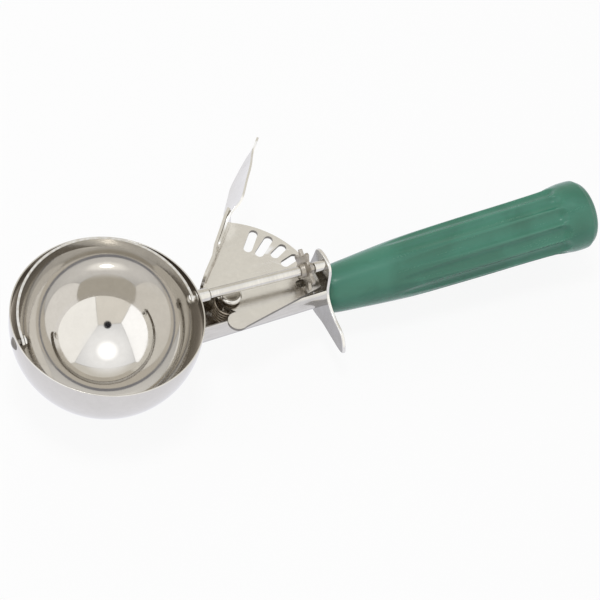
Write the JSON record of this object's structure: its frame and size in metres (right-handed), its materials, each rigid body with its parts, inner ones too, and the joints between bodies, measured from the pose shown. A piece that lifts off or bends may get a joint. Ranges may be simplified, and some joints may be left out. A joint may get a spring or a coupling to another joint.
{
  "type": "ice cream scoop",
  "caption": "Thumb-lever ice cream disher: round steel bowl with a sweeping scraper blade, slotted fan plate driving a pinion, finger guard and fluted plastic handle.",
  "frame": {"origin": "centre of the bowl's rim, in the plane of the rim", "axes": "+X from the bowl toward the handle, +Z out of the bowl's mouth, +Y toward the thumb lever"},
  "size_m": [0.2218, 0.0897, 0.0404],
  "materials": {
    "bowl_steel": "polished stainless steel",
    "bright_steel": "polished stainless steel",
    "satin_steel": "satin stainless steel",
    "spring_steel": "drawn spring wire",
    "handle_green": "moulded glossy plastic, green"
  },
  "bodies": {
    "frame": {"bowl": "bowl_steel", "far_rivet": "bright_steel", "rivet_washer": "satin_steel", "bowl_bush": "bright_steel", "shank": "bright_steel", "guard": "satin_steel", "rear_bush": "bright_steel", "tang": "satin_steel", "handle": "handle_green", "pivot_post": "bright_steel", "post_washer": "satin_steel", "return_spring": "spring_steel"},
    "lever": {"fan_plate": "satin_steel", "fan_bush": "satin_steel", "thumb_tab": "satin_steel"},
    "spindle": {"spindle_rod": "bright_steel", "spindle_sleeve": "bright_steel", "spindle_collar": "satin_steel", "pinion": "satin_steel", "scraper_blade": "bright_steel"}
  },
  "joints": [
    {"name": "lever_pivot", "type": "hinge", "parent": "frame", "child": "lever", "pos_m": [0.04497, 0, -0.01], "axis": [0, 0, 1], "range_deg": [-43, 0], "stiffness_Nm_per_rad": 0.12, "springref_deg": 20.05},
    {"name": "spindle_spin", "type": "hinge", "parent": "frame", "child": "spindle", "pos_m": [0, 0, -0.0033], "axis": [1, 0, 0], "range_deg": [-180, 0]}
  ],
  "couplings": [
    {"joint": "spindle_spin", "follows": "lever_pivot", "ratio": 4.1667}
  ]
}
